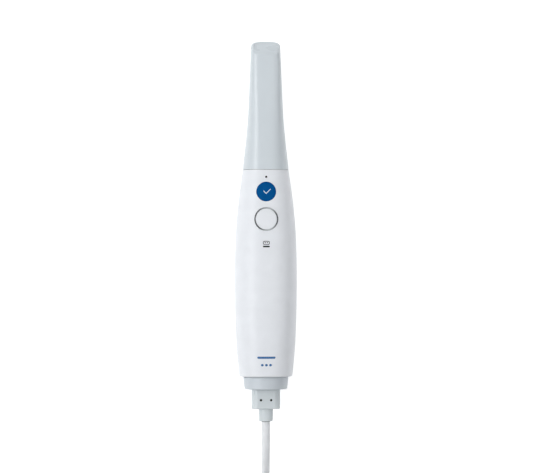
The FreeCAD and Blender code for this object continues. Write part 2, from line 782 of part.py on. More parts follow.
def make_rear():
    rear = size("cap_rear")
    shell_inside = size("shell_rear") + size("end_wall")
    wide = size("rear_opening") / 2 - 0.2
    groove_front = size("shell_rear") + 0.2
    groove_rear = groove_front - size("groove_width")
    groove_floor = wide - size("groove_depth")
    hollow = size("cap_hollow_width") / 2
    end_radius = size("cap_end_width") / 2
    outline = [
        (hollow, shell_inside + 2.0), (wide + 0.5, shell_inside + 2.0), (wide + 0.5, shell_inside),
        (wide, shell_inside), (wide, groove_front), (groove_floor, groove_front), (groove_floor, groove_rear),
        (wide, groove_rear), (end_radius + size("cap_taper"), rear + 1.6), (end_radius, rear),
        (0, rear), (0, rear + 2.0), (hollow, rear + 2.0),
    ]
    cap = turned("rear_cap", outline)
    carve(cap, "Y", [rounded(15.4, 7.4, 1.2)], rear, rear + 2.0)
    slots = [rounded(length, 1.4, 0.6, 0, height)
             for height, length in ((-11.4, 12.0), (-9.0, 16.0), (9.0, 16.0), (11.4, 12.0))]
    carve(cap, "Y", slots, rear, rear + 2.0)
    screws = [(x, z) for x in (-11.9, 11.9) for z in (-5.6, 5.6)]
    carve(cap, "Y", [circle(2.0, x, z) for x, z in screws], rear, rear + 1.5)
    rim = 2 * math.pi * end_radius.value
    round_edges(cap, size("cap_edge"), lambda edge: abs(edge.Length - rim) < 0.2
                and edge.BoundBox.YMax < rear.value + 0.1)
    rods = [along_y("cap_screw_%s" % "abcd"[number], 2.0, rear + 0.2, rear + 1.5, x, AXIS + z)
            for number, (x, z) in enumerate(screws)]
    keep(fuse("rear_cap_screws", rods))

    fan_rear = shell_inside + 2.0
    depth = size("fan_depth")
    fan = size("fan_size")
    frame = new_body("fan_frame", (0, fan_rear, AXIS))
    add(frame, "Y", [rounded(fan, fan, 3.0), circle(size("fan_bore"))], 0, depth)
    add(frame, "Y", [circle(12.0), circle(size("fan_shaft") + 0.06)], 0, 1.2)
    for angle_box in (rectangle(size("fan_bore") + 0.6, 1.6), rectangle(1.6, size("fan_bore") + 0.6)):
        add(frame, "Y", [angle_box], 0, 1.2)
    carve(frame, "Y", [circle(size("fan_shaft") + 0.06)], 0, 1.2)
    hub = along_y("fan_hub", 11.6, fan_rear + 1.6, fan_rear + 7.2, 0, AXIS)
    shaft = along_y("fan_axle", size("fan_shaft"), fan_rear + 0.1, fan_rear + 1.6, 0, AXIS)
    blades = []
    for number in range(7):
        blade = Part.makeBox(1.0, 6.4, 6.4, Vector(-0.5, -3.2, 4.8))
        blade.rotate(Vector(0, 0, 0), Vector(0, 0, 1), 38)
        blade.rotate(Vector(0, 0, 0), Vector(0, 1, 0), 360.0 * number / 7)
        blades.append(blade)
    sweep = Part.makeCylinder(11.1, 5.2, Vector(0, -2.6, 0), Vector(0, 1, 0))
    fan_blades = blades[0].multiFuse(blades[1:]).common(sweep)
    keep(fuse("fan_rotor", [hub, shaft, form("fan_blades", fan_blades, (0, fan_rear + 4.4, AXIS))]))

    tongue_w, tongue_h = size("tongue_width"), size("tongue_height")
    socket = new_body("cable_socket", (0, 0, AXIS))
    add(socket, "Y", [rounded(19.0, 11.0, 2.0)], rear + 2.0, rear + 10.0)
    carve(socket, "Y", [rounded(tongue_w + 0.4, tongue_h + 0.4, 1.2)], rear + 2.0, rear + 8.8)
    contacts = new_body("socket_contacts", (0, 0, AXIS))
    add(contacts, "Y", [rectangle(11.0, 1.6)], rear + 3.4, rear + 8.8)


def make_plug():
    rear = size("cap_rear")
    end = size("plug_rear")
    front = rear - 0.15
    plug = new_body("plug_housing", (0, 0, AXIS))
    wide, tall = size("plug_width"), size("plug_height")
    add(plug, "Y", [rounded(wide, tall, size("plug_corner"))], end, front)
    round_edges(plug, 0.7, lambda edge: edge.BoundBox.YLength < 0.01)
    across = size("screw_offset")
    holes = [circle(size("screw_width"), x, size("screw_along")) for x in (-across, across)]
    carve(plug, "Z", holes, tall / 2 - 1.6, tall / 2)
    along, low = size("screw_along"), AXIS + tall / 2 - 1.6
    screws = [primitive("Cylinder", "plug_screw_%s" % name, (x, along, low), 0,
                        Radius=size("screw_width") / 2, Height=1.4)
              for name, x in (("a", -across), ("b", across))]
    keep(fuse("plug_screws", screws))

    tongue = new_body("plug_tongue", (0, 0, AXIS))
    tongue_w, tongue_h = size("tongue_width"), size("tongue_height")
    add(tongue, "Y", [rounded(tongue_w, tongue_h, 1.0)], front, rear + 7.8)
    carve(tongue, "Y", [rounded(tongue_w - 2.4, tongue_h - 2.4, 0.6)], rear + 2.6, rear + 7.8)

    boot_end = size("boot_rear")
    radius = size("boot_width") / 2
    boot = turned("cable_boot", [(0, end), (radius, end), (radius, boot_end), (0, boot_end)])
    round_edges(boot, size("boot_edge"), lambda edge: edge.BoundBox.YMax < boot_end.value + 0.1)


# ---------------------------------------------------------------- cable

def cord_path(route):
    """Straight runs joined by tangent arcs, each as large as its two runs allow."""
    points = [Vector(*point) for point in route]
    edges = []
    radii = []
    last = points[0]
    for before, corner, after in zip(points, points[1:], points[2:]):
        into = corner - before
        out = after - corner
        reach = 0.45 * min(into.Length, out.Length)
        into.normalize()
        out.normalize()
        half_turn = into.getAngle(out) / 2
        radius = reach / math.tan(half_turn)
        start = corner - into * reach
        end = corner + out * reach
        inward = (out - into).normalize()
        middle = corner + inward * (radius / math.cos(half_turn) - radius)
        edges.append(Part.LineSegment(last, start).toShape())
        edges.append(Part.Arc(start, middle, end).toShape())
        radii.append(round(radius, 1))
        last = end
    edges.append(Part.LineSegment(last, points[-1]).toShape())
    return Part.Wire(edges), radii


def make_cord(name, route):
    path, radii = cord_path(route)
    radius = size("cable_width").value / 2
    first = path.OrderedEdges[0]
    ring = Part.Circle(first.valueAt(first.FirstParameter), first.tangentAt(first.FirstParameter), radius)
    solid = path.makePipeShell([Part.Wire([ring.toShape()])], True, False)
    expected = math.pi * radius ** 2 * path.Length
    print(name, "length", round(path.Length, 1), "radii", radii,
          "volume ratio", round(solid.Volume / expected, 4))
    return keep(form(name, solid))


def make_hank():
    """The put-away cable: two folds and a waist that the tie draws in."""
    pitch = size("lane_pitch").value
    cord = size("cable_width").value
    fold = size("fold_radius").value
    waist = size("waist_radius").value
    waist_centre = size("waist_half").value + waist
    fold_centre = math.sqrt((fold + waist) ** 2 - waist_centre ** 2)
    outer = fold + pitch + cord / 2
    bend = waist - pitch - cord / 2
    share = outer / (fold + waist)
    touch_x = waist_centre * share
    touch_y = fold_centre * (1 - share)
    corners = [Vector(touch_x, touch_y, 0), Vector(-touch_x, touch_y, 0),
               Vector(-touch_x, -touch_y, 0), Vector(touch_x, -touch_y, 0)]
    middles = [Vector(0, fold_centre + outer, 0), Vector(bend - waist_centre, 0, 0),
               Vector(0, -fold_centre - outer, 0), Vector(waist_centre - bend, 0, 0)]
    arcs = [Part.Arc(corner, middle, following).toShape()
            for corner, middle, following in zip(corners, middles, corners[1:] + corners[:1])]
    height = (size("hank_layers").value - 1) * size("layer_pitch").value + cord
    pad = Part.Face(Part.Wire(arcs)).extrude(Vector(0, 0, height))
    notch_width = size("tie_width").value + 1.0
    notch = Part.makeBox(60, notch_width, 1.2, Vector(-30, -notch_width / 2, 0))
    keep(form("cable_hank", pad.cut(notch), (0, size("hank_centre"), 0.05)))
    print("hank", round(2 * outer, 1), "wide", round(2 * (fold_centre + outer), 1), "long")

    tie = new_body("cable_tie", (0, size("hank_centre"), 0))
    half = size("tie_width") / 2
    add(tie, "Y", [rounded(29.2, 25.2, 1.6, 0, 12.7), rounded(27.2, 23.2, 0.6, 0, 12.7)], -half, half)


def make_hub_plug():
    """The plug at the cable's far end, lying on top of the hank."""
    x, y, z = TAIL_ROUTE[-1]
    length = size("grip_length")
    grip = new_body("hub_plug_grip", (x, y, z))
    add(grip, "Y", [rounded(size("grip_width"), size("grip_height"), 2.2)], 0, length)
    round_edges(grip, 0.9, lambda edge: edge.BoundBox.YLength < 0.01)
    shell = new_body("hub_plug_shell", (x, as_size(y) + length, z))
    add(shell, "Y", [rounded(8.3, 2.5, 1.2)], 0, 6.5)
    carve(shell, "Y", [rounded(7.7, 1.9, 0.9)], 1.5, 6.5)


# ---------------------------------------------------------------- checks and files

def check_features():
    """Raise if any object failed, or if a pocket took nothing away."""
    for thing in doc.Objects:
        bad = [word for word in thing.State if word in ("Invalid", "Error")]
        if bad:
            raise RuntimeError("%s is %s: %s" % (thing.Label, bad, thing.getStatusString()))
        if thing.TypeId == "PartDesign::Pocket":
            if thing.Shape.Volume > thing.BaseFeature.Shape.Volume - 1e-3:
                raise RuntimeError("%s cuts nothing" % thing.Label)


def write_pieces():
    os.makedirs("parts", exist_ok=True)
    for piece in pieces:
        shape = piece.Shape
        if shape.isNull() or not shape.isValid() or not shape.Solids:
            raise RuntimeError("%s has no valid solid" % piece.Label)
    for piece in pieces:
        piece.Shape.exportStep(os.path.join("parts", piece.Label + ".step"))
    print(len(pieces), "sub-parts written")


make_shells()
make_panel()
make_switches()
make_tip()
make_nose()
make_optics()
make_chassis()
make_rear()
make_plug()
make_cord("cable_lead", LEAD_ROUTE)
make_hank()
make_cord("cable_tail", TAIL_ROUTE)
make_hub_plug()
doc.recompute()
check_features()
write_pieces()
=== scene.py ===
import math

import bmesh
import bpy
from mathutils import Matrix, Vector
from mathutils.bvhtree import BVHTree


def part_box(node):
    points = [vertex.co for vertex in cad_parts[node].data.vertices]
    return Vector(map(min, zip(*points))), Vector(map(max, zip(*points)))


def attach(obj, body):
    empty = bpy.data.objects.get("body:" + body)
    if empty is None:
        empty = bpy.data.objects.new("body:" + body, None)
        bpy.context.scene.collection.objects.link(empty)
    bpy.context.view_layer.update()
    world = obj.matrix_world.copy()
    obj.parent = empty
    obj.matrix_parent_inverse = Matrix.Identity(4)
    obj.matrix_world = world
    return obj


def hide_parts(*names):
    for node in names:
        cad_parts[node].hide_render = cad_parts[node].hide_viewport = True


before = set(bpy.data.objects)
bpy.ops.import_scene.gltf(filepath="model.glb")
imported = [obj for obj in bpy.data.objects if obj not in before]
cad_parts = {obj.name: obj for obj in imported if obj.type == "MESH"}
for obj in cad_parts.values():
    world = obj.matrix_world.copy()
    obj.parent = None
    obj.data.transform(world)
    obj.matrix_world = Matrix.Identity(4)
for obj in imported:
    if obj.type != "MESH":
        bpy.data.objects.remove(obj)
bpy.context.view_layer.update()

# The looks of a hand-held intraoral scanner that lies on its back, buttons up, with the
# tip towards +Y and its cable put away as a tied hank behind it. Lengths are in metres.

MM = 0.001
scene = bpy.context.scene


def middle(node):
    low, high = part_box(node)
    return (Vector(low) + Vector(high)) / 2


AXIS_HEIGHT = middle("optical_nose").z


# ---------------------------------------------------------------- camera

CAMERA_HEIGHT = 2.2
VIEW_WIDTH = 0.3804
VIEW_CENTRE = (0.51 * MM, -15.15 * MM)
VIEW_ROLL = 1.1
VIEW_TURN = -0.05
SENSOR_WIDTH = 36.0


def make_camera():
    """Above the handpiece and a little to its left, the tip towards the picture's top."""
    data = bpy.data.cameras.new("camera")
    data.sensor_width = SENSOR_WIDTH
    data.lens = SENSOR_WIDTH * CAMERA_HEIGHT / VIEW_WIDTH
    data.clip_start = 0.01
    data.clip_end = 50.0
    camera = bpy.data.objects.new("camera", data)
    roll = math.radians(VIEW_ROLL)
    camera.location = (VIEW_CENTRE[0] - CAMERA_HEIGHT * math.sin(roll), VIEW_CENTRE[1],
                       AXIS_HEIGHT + CAMERA_HEIGHT * math.cos(roll))
    camera.rotation_euler = (0, -roll, math.radians(VIEW_TURN))
    scene.collection.objects.link(camera)
    scene.camera = camera


# ---------------------------------------------------------------- cable

CABLE_WIDTH = 5.8 * MM
EXIT = (0.0, -0.1470, 0.0247)

# The free stretch: straight out of the boot, down to the surface, out to the hank's side.
LEAD_ROUTE = [
    EXIT,
    (0.0, -0.1620, 0.0247),
    (0.0, -0.1780, 0.0176),
    (0.0, -0.1914, 0.0066),
    (0.0002, -0.2064, 0.00295),
    (0.0058, -0.2203, 0.00295),
    (0.0160, -0.2307, 0.00295),
    (0.0230, -0.2438, 0.00295),
]
# The last stretch, from the tied waist up to the plug on top of the hank.
TAIL_ROUTE = [
    (-0.0033, -0.2864, 0.0164),
    (-0.0028, -0.2769, 0.0188),
    (-0.0019, -0.2674, 0.0214),
    (-0.0010, -0.2589, 0.0219),
    (-0.0010, -0.2504, 0.0219),
]

HANK_CENTRE = -284.4 * MM
FOLD_RADIUS = 18.0 * MM
WAIST_RADIUS = 26.0 * MM
WAIST_HALF = 3.2 * MM
LANE_PITCH = 5.95 * MM
LAYER_PITCH = 5.9 * MM
CORD_REST = 2.95 * MM

# The lead joins the hank's far fold at this angle and this point of its first turn. Each
# change of lane or layer takes a share of a turn, and comes a little before the turn ends.
MERGE_ANGLE = 22.0
FIRST_POINT = 2
HANK_TURNS = 5.62
TURN_POINTS = 40
CHANGES = 5
CHANGE_TURN = 0.16
CHANGE_LEAD = 0.04

# How far the tie lifts the cords, and from how far off they start to rise.
TIE_LIFT = 1.15 * MM
TIE_LIFT_START = 22.0 * MM
TIE_LIFT_RUN = 16.0 * MM


def ease(share):
    """A smooth step from 0 to 1."""
    share = min(1.0, max(0.0, share))
    return share * share * (3 - 2 * share)


def hank_arcs():
    """One clockwise turn: (centre, whether it is a fold, start angle, end angle) of each arc."""
    across = WAIST_HALF + WAIST_RADIUS
    along = math.sqrt((FOLD_RADIUS + WAIST_RADIUS) ** 2 - across ** 2)
    tangent = math.degrees(math.atan2(along, across))
    return [
        ((0, along), True, MERGE_ANGLE, -tangent),
        ((across, 0), False, 180 - tangent, 180 + tangent),
        ((0, -along), True, tangent, -180 - tangent),
        ((-across, 0), False, -tangent, tangent),
        ((0, along), True, 180 + tangent, MERGE_ANGLE),
    ]


def lane_radius(fold, lane):
    return FOLD_RADIUS + LANE_PITCH * lane if fold else WAIST_RADIUS - LANE_PITCH * lane


def hank_point(turn, lane):
    """The place on the hank's loop after a number of turns, on lane 0 (inner) to 1 (outer)."""
    arcs = hank_arcs()
    middle_lane = 0.5
    spans = [lane_radius(fold, middle_lane) * math.radians(abs(end - start))
             for _, fold, start, end in arcs]
    run = (turn % 1.0) * sum(spans)
    for (centre, fold, start, end), span in zip(arcs, spans):
        if run <= span:
            break
        run -= span
    angle = math.radians(start + (end - start) * run / span)
    radius = lane_radius(fold, lane)
    return centre[0] + radius * math.cos(angle), HANK_CENTRE + centre[1] + radius * math.sin(angle)


def hank_route():
    """The wound turns: two lanes by three layers, changing lane or layer once a turn."""
    route = []
    for step in range(FIRST_POINT, round(HANK_TURNS * TURN_POINTS) + 1):
        turn = step / TURN_POINTS
        lane, layer = 1.0, 0.0
        for change in range(1, CHANGES + 1):
            done = ease((turn - change * (1 - CHANGE_LEAD) + CHANGE_TURN) / CHANGE_TURN)
            if change % 2 == 0:
                layer += done
            elif change % 4 == 1:
                lane -= done
            else:
                lane += done
        x, y = hank_point(turn, lane)
        lift = TIE_LIFT * ease((TIE_LIFT_START - abs(y - HANK_CENTRE)) / TIE_LIFT_RUN)
        route.append((x, y, CORD_REST + LAYER_PITCH * layer + lift))
    return route


def make_cable():
    """The whole cable as one open spline through its free, wound and last stretches."""
    data = bpy.data.curves.new("cable", "CURVE")
    data.dimensions = "3D"
    route = LEAD_ROUTE + hank_route() + TAIL_ROUTE
    spline = data.splines.new("NURBS")
    spline.points.add(len(route) - 1)
    for point, place in zip(spline.points, route):
        point.co = (*place, 1.0)
        point.radius = CABLE_WIDTH / 2
    spline.order_u = 3
    spline.use_endpoint_u = True
    spline.resolution_u = 4
    data.bevel_depth = 1.0
    data.bevel_resolution = 5
    data.use_fill_caps = True
    cable = bpy.data.objects.new("cable", data)
    scene.collection.objects.link(cable)
    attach(cable, "cable")
    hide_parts("cable_lead", "cable_hank", "cable_tail")
    return cable


# ---------------------------------------------------------------- mesh helpers

def finish_mesh(name, mesh, body, material, smooth_angle=35.0):
    """Turn a bmesh into a piece that rides on a body."""
    bmesh.ops.recalc_face_normals(mesh, faces=mesh.faces)
    data = bpy.data.meshes.new(name)
    for face in mesh.faces:
        face.smooth = True
    mesh.to_mesh(data)
    mesh.free()
    data.set_sharp_from_angle(angle=math.radians(smooth_angle))
    data.materials.append(material)
    piece = bpy.data.objects.new(name, data)
    scene.collection.objects.link(piece)
    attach(piece, body)
    return piece


def skin(mesh, rings):
    """Join rings of points with quads, and cap the first and last ring."""
    rows = [[mesh.verts.new(point) for point in ring] for ring in rings]
    count = len(rows[0])
    for row, following in zip(rows, rows[1:]):
        for index in range(count):
            after = (index + 1) % count
            mesh.faces.new((row[index], row[after], following[after], following[index]))
    mesh.faces.new(rows[0])
    mesh.faces.new(rows[-1])


def oval(half_width, half_height, power, count=48):
    """A superellipse as (across, up) pairs."""
    pairs = []
    for index in range(count):
        angle = 2 * math.pi * index / count
        c, s = math.cos(angle), math.sin(angle)
        pairs.append((half_width * math.copysign(abs(c) ** (2 / power), c),
                      half_height * math.copysign(abs(s) ** (2 / power), s)))
    return pairs


# ---------------------------------------------------------------- materials

class Look:
    """One material's nodes, wired by short calls."""

    def __init__(self, name, **settings):
        self.material = bpy.data.materials.new(name)
        self.material.use_nodes = True
        self.tree = self.material.node_tree
        self.shader = self.tree.nodes["Principled BSDF"]
        self.coords = self.node("TexCoord").outputs["Object"]
        for socket, value in settings.items():
            self.shader.inputs[socket.replace("_", " ")].default_value = value

    def node(self, kind, **properties):
        node = self.tree.nodes.new("ShaderNode" + kind)
        for key, value in properties.items():
            setattr(node, key, value)
        return node

    def link(self, source, target):
        self.tree.links.new(source, target)

    def stretched(self, scale):
        """Object coordinates scaled per axis, so that a pattern runs along one of them."""
        mapping = self.node("Mapping")
        mapping.inputs["Scale"].default_value = scale
        self.link(self.coords, mapping.inputs["Vector"])
        return mapping.outputs["Vector"]

    def noise(self, size, detail=2.0, coords=None):
        noise = self.node("TexNoise")
        noise.inputs["Scale"].default_value = 1 / size
        noise.inputs["Detail"].default_value = detail
        self.link(coords or self.coords, noise.inputs["Vector"])
        return noise.outputs["Fac"]

    def cells(self, size):
        cells = self.node("TexVoronoi", feature="F1")
        cells.inputs["Scale"].default_value = 1 / size
        self.link(self.coords, cells.inputs["Vector"])
        return cells.outputs["Distance"]

    def wave(self, size, axis, coords=None):
        """Ridges whose pitch is the size, across one axis."""
        wave = self.node("TexWave", wave_type="BANDS", bands_direction=axis)
        wave.inputs["Scale"].default_value = 2 * math.pi / (20 * size)
        self.link(coords or self.coords, wave.inputs["Vector"])
        return wave.outputs["Fac"]

    def spread(self, value, low, high, start=0.3, stop=0.7):
        """Map a pattern's middle range onto low to high."""
        spread = self.node("MapRange")
        spread.inputs["From Min"].default_value = start
        spread.inputs["From Max"].default_value = stop
        spread.inputs["To Min"].default_value = low
        spread.inputs["To Max"].default_value = high
        self.link(value, spread.inputs["Value"])
        return spread.outputs["Result"]

    def maths(self, operation, first, second):
        node = self.node("Math", operation=operation)
        self.link(first, node.inputs[0])
        self.link(second, node.inputs[1])
        return node.outputs[0]

    def between(self, factor, first, second):
        """Mix two colours by a pattern."""
        mix = self.node("Mix", data_type="RGBA")
        self.link(factor, mix.inputs["Factor"])
        mix.inputs["A"].default_value = (*first, 1.0)
        mix.inputs["B"].default_value = (*second, 1.0)
        return mix.outputs["Result"]

    def colour(self, output):
        self.link(output, self.shader.inputs["Base Color"])

    def rough(self, output):
        self.link(output, self.shader.inputs["Roughness"])

    def bump(self, height, depth, strength):
        bump = self.node("Bump")
        bump.inputs["Distance"].default_value = depth
        bump.inputs["Strength"].default_value = strength
        self.link(height, bump.inputs["Height"])
        self.link(bump.outputs["Normal"], self.shader.inputs["Normal"])


def scaled(colour, factor):
    return tuple(min(1.0, channel * factor) for channel in colour)


def moulded(name, colour, roughness, grain=0.35 * MM, depth=0.012 * MM, mottle=0.02, **settings):
    """Moulded plastic: fine spark-eroded grain and faint clouds in colour and gloss."""
    look = Look(name, **settings)
    clouds = look.noise(9 * MM, 3.0)
    darker, lighter = scaled(colour, 1 - mottle), scaled(colour, 1 + mottle)
    look.colour(look.between(look.spread(clouds, 0, 1), darker, lighter))
    handled = look.noise(22 * MM, 4.0)
    look.rough(look.spread(handled, roughness - 0.015, roughness + 0.02, 0.2, 0.8))
    pits = look.cells(grain)
    fine = look.noise(grain / 2, 3.0)
    look.bump(look.maths("ADD", pits, fine), depth, 0.5)
    return look.material


def metal(name, colour, roughness, grain_scale, depth=0.004 * MM):
    """Metal with fine lines drawn out by the per-axis scale."""
    look = Look(name, Metallic=1.0)
    lines = look.noise(0.25 * MM, 3.0, look.stretched(grain_scale))
    smears = look.noise(6 * MM, 3.0)
    look.colour(look.between(look.spread(smears, 0, 1), scaled(colour, 0.94), scaled(colour, 1.03)))
    look.rough(look.spread(lines, roughness - 0.05, roughness + 0.08))
    look.bump(lines, depth, 0.4)
    return look.material


def glass(name, tint):
    """Coated optical glass: clear, with a tint and a gloss that wander a little."""
    look = Look(name, Transmission_Weight=0.9, IOR=1.52, Coat_Weight=1.0, Coat_Roughness=0.02)
    smears = look.noise(5 * MM, 2.0)
    look.colour(look.between(look.spread(smears, 0, 1), scaled(tint, 0.92), tint))
    look.rough(look.spread(smears, 0.03, 0.06))
    return look.material


# Painted reflection: the trim's dark and light colours, which stand in for the dark and bright lobes of
# turned metal.
TRIM_PAINTED_REFLECTION_DARK = (0.105, 0.11, 0.118)
TRIM_PAINTED_REFLECTION_LIGHT = (0.40, 0.425, 0.44)


def trim_look():
    """The button's bright trim: turned metal whose colour carries a painted reflection, darker and lighter
    by quarters round the ring.
    """
    look = Look("chrome_trim", Metallic=1.0)
    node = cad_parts["scan_button_ring"]
    centre = node.matrix_world.inverted() @ middle("scan_button_ring")
    mapping = look.node("Mapping")
    mapping.inputs["Location"].default_value = -centre
    look.link(look.coords, mapping.inputs["Vector"])
    sweep = look.node("TexGradient", gradient_type="RADIAL")
    look.link(mapping.outputs["Vector"], sweep.inputs["Vector"])
    quarters = look.node("MapRange")
    quarters.inputs["To Max"].default_value = 4.0
    look.link(sweep.outputs["Fac"], quarters.inputs["Value"])
    # The painted reflection's swing from dark to light, by the angle round the ring's centre.
    fan = look.node("Math", operation="PINGPONG")
    fan.inputs[1].default_value = 1.0
    look.link(quarters.outputs["Result"], fan.inputs[0])
    brushed = look.noise(0.2 * MM, 2.0, look.stretched((1, 1, 3)))
    look.colour(look.between(look.spread(fan.outputs[0], 0, 1, 0.25, 0.85), TRIM_PAINTED_REFLECTION_DARK, TRIM_PAINTED_REFLECTION_LIGHT))
    look.rough(look.spread(brushed, 0.26, 0.36))
    look.bump(brushed, 0.003 * MM, 0.4)
    return look.material


def board_look():
    """A solder mask with lighter tracks under it."""
    look = Look("board_green", Coat_Weight=0.4, Coat_Roughness=0.2)
    tracks = look.wave(1.3 * MM, "X", look.stretched((1, 0.4, 1)))
    patches = look.cells(4.2 * MM)
    pattern = look.maths("MULTIPLY", tracks, look.spread(patches, 0.2, 1, 0.2, 0.5))
    look.colour(look.between(look.spread(pattern, 0, 1), (0.006, 0.075, 0.03), (0.02, 0.16, 0.07)))
    look.rough(look.spread(patches, 0.3, 0.45))
    look.bump(pattern, 0.03 * MM, 0.6)
    return look.material


def heater_look():
    """Etched copper lines on a clear film."""
    look = Look("copper_heater", Metallic=0.8)
    lines = look.wave(0.8 * MM, "X")
    look.colour(look.between(look.spread(lines, 0, 1), (0.42, 0.16, 0.07), (0.83, 0.42, 0.22)))
    look.rough(look.spread(lines, 0.45, 0.25))
    look.bump(lines, 0.03 * MM, 0.6)
    return look.material


def jacket_look():
    """Soft matt cable jacket: fine drag lines, faint scuffs."""
    look = Look("cable_jacket", Sheen_Weight=0.08, Sheen_Roughness=0.4)
    clouds = look.noise(7 * MM, 4.0)
    look.colour(look.between(look.spread(clouds, 0, 1), (0.745, 0.765, 0.79), (0.79, 0.81, 0.835)))
    look.rough(look.spread(clouds, 0.5, 0.6))
    look.bump(look.noise(0.4 * MM, 4.0), 0.02 * MM, 0.5)
    return look.material


def weave_look():
    """Hook-and-loop webbing: ribs both ways under a short fuzz."""
    look = Look("tie_fabric", Sheen_Weight=0.5, Sheen_Roughness=0.5)
    ribs = look.maths("MULTIPLY", look.wave(0.7 * MM, "Y"), look.wave(0.5 * MM, "DIAGONAL"))
    fuzz = look.noise(0.18 * MM, 4.0)
    height = look.maths("ADD", ribs, fuzz)
    look.colour(look.between(look.spread(height, 0, 1, 0.3, 1.2), (0.035, 0.037, 0.04), (0.12, 0.125, 0.13)))
    look.rough(look.spread(fuzz, 0.75, 0.95))
    look.bump(height, 0.15 * MM, 0.8)
    return look.material


def blue_look():
    """The tinted disc of the confirm button: a deep satin blue with faint clouds."""
    look = Look("button_blue", Specular_IOR_Level=0.03)
    clouds = look.noise(5 * MM, 2.0)
    look.colour(look.between(look.spread(clouds, 0, 1), (0.0004, 0.070, 0.235), (0.0008, 0.080, 0.268)))
    look.rough(look.spread(look.noise(1.5 * MM, 3.0), 0.42, 0.52))
    look.bump(look.noise(0.3 * MM, 2.0), 0.004 * MM, 0.4)
    return look.material


def make_looks():
    """A look for each material slot of the record."""
    shell = (0.765, 0.79, 0.83)
    grey = (0.613, 0.665, 0.69)
    return {
        "shell_white": moulded("shell_white", shell, 0.44),
        "tip_plastic": moulded("tip_plastic", (0.608, 0.662, 0.700), 0.28, 0.3 * MM, 0.0015 * MM, 0.008),
        "rear_grey": moulded("rear_grey", (0.575, 0.623, 0.668), 0.42),
        "block_grey": moulded("block_grey", grey, 0.42),
        "button_white": moulded("button_white", shell, 0.33, 0.25 * MM, 0.006 * MM),
        "button_blue": blue_look(),
        "mark_pale": moulded("mark_pale", (0.62, 0.72, 0.80), 0.35, 0.2 * MM, 0.004 * MM),
        "chrome_trim": trim_look(),
        "dark_plastic": moulded("dark_plastic", (0.012, 0.013, 0.015), 0.5, Specular_IOR_Level=0.25),
        "black_plastic": moulded("black_plastic", (0.012, 0.013, 0.014), 0.5),
        "seal_rubber": moulded("seal_rubber", (0.22, 0.235, 0.245), 0.7, 0.5 * MM),
        "mirror_face": metal("mirror_face", (0.90, 0.91, 0.92), 0.07, (1, 1, 1), 0.0005 * MM),
        "window_glass": glass("window_glass", (0.80, 0.88, 0.95)),
        "lens_glass": glass("lens_glass", (0.70, 0.66, 0.92)),
        "alloy": metal("alloy", (0.50, 0.51, 0.53), 0.38, (8, 1, 8)),
        "steel": metal("steel", (0.58, 0.58, 0.59), 0.27, (1, 6, 1)),
        "board_green": board_look(),
        "copper_heater": heater_look(),
        "boot_rubber": moulded("boot_rubber", grey, 0.5, 0.5 * MM, 0.015 * MM),
        "cable_jacket": jacket_look(),
        "tie_fabric": weave_look(),
    }


def dress_nodes(looks):
    """Every carried CAD node takes the look of its own material slot."""
    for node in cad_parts.values():
        for slot in node.material_slots:
            slot.material = looks[slot.material.name.split(".")[0]]


# ---------------------------------------------------------------- printed marks

INK_RISE = 0.03 * MM
INK_ROOT = 0.12 * MM
PILL_END_POINTS = 9
PILL_TIP_ANGLE = 8.0
BAR_ALONG = -100.9 * MM
DOTS_STEP = 5.3 * MM
PICTOGRAM_ALONG = -19.7 * MM


def ink_look(name, colour):
    look = Look(name)
    wear = look.noise(0.5 * MM, 4.0)
    look.colour(look.between(look.spread(wear, 0, 1), scaled(colour, 0.9), scaled(colour, 1.15)))
    look.rough(look.spread(wear, 0.38, 0.5))
    return look.material


def ribbon(mesh, pairs, height, closed=False):
    """A thin closed strip of ink between pairs of (x, y) points, laid on the shell."""
    rows = []
    for first, second in pairs:
        row = []
        for x, y in (first, second):
            top = height(x, y) + INK_RISE
            row += [mesh.verts.new((x, y, top)), mesh.verts.new((x, y, top - INK_ROOT))]
        rows.append(row)
    turns = list(zip(rows, rows[1:])) + ([(rows[-1], rows[0])] if closed else [])
    for (a, low_a, b, low_b), (c, low_c, d, low_d) in turns:
        mesh.faces.new((a, b, d, c))
        mesh.faces.new((low_a, low_c, low_d, low_b))
        mesh.faces.new((a, c, low_c, low_a))
        mesh.faces.new((b, low_b, low_d, d))
    if not closed:
        for a, low_a, b, low_b in (rows[0], rows[-1]):
            mesh.faces.new((a, low_a, low_b, b))


def pill(x, y, width, tall):
    """A bar with round ends, as pairs of points from end to end."""
    radius = tall / 2
    pairs = []
    for index in range(PILL_END_POINTS):
        share = index / (PILL_END_POINTS - 1)
        angle = math.radians(PILL_TIP_ANGLE + (90.0 - PILL_TIP_ANGLE) * share)
        pairs.append((-width / 2 + radius - radius * math.cos(angle), radius * math.sin(angle)))
    steps = max(2, round((width - tall) / MM))
    for index in range(1, steps):
        pairs.append((-width / 2 + radius + (width - tall) * index / steps, radius))
    pairs += [(-across, half) for across, half in reversed(pairs[:PILL_END_POINTS])]
    return [((x + across, y - half), (x + across, y + half)) for across, half in pairs]


def frame_outline(x, y, width, tall, line):
    """A squarish outline of one line's width, as pairs of inner and outer points."""
    power, count = 4.0, 40
    outer = oval(width / 2, tall / 2, power, count)
    inner = oval(width / 2 - line, tall / 2 - line, power, count)
    return [((x + a, y + b), (x + c, y + d)) for (a, b), (c, d) in zip(inner, outer)]


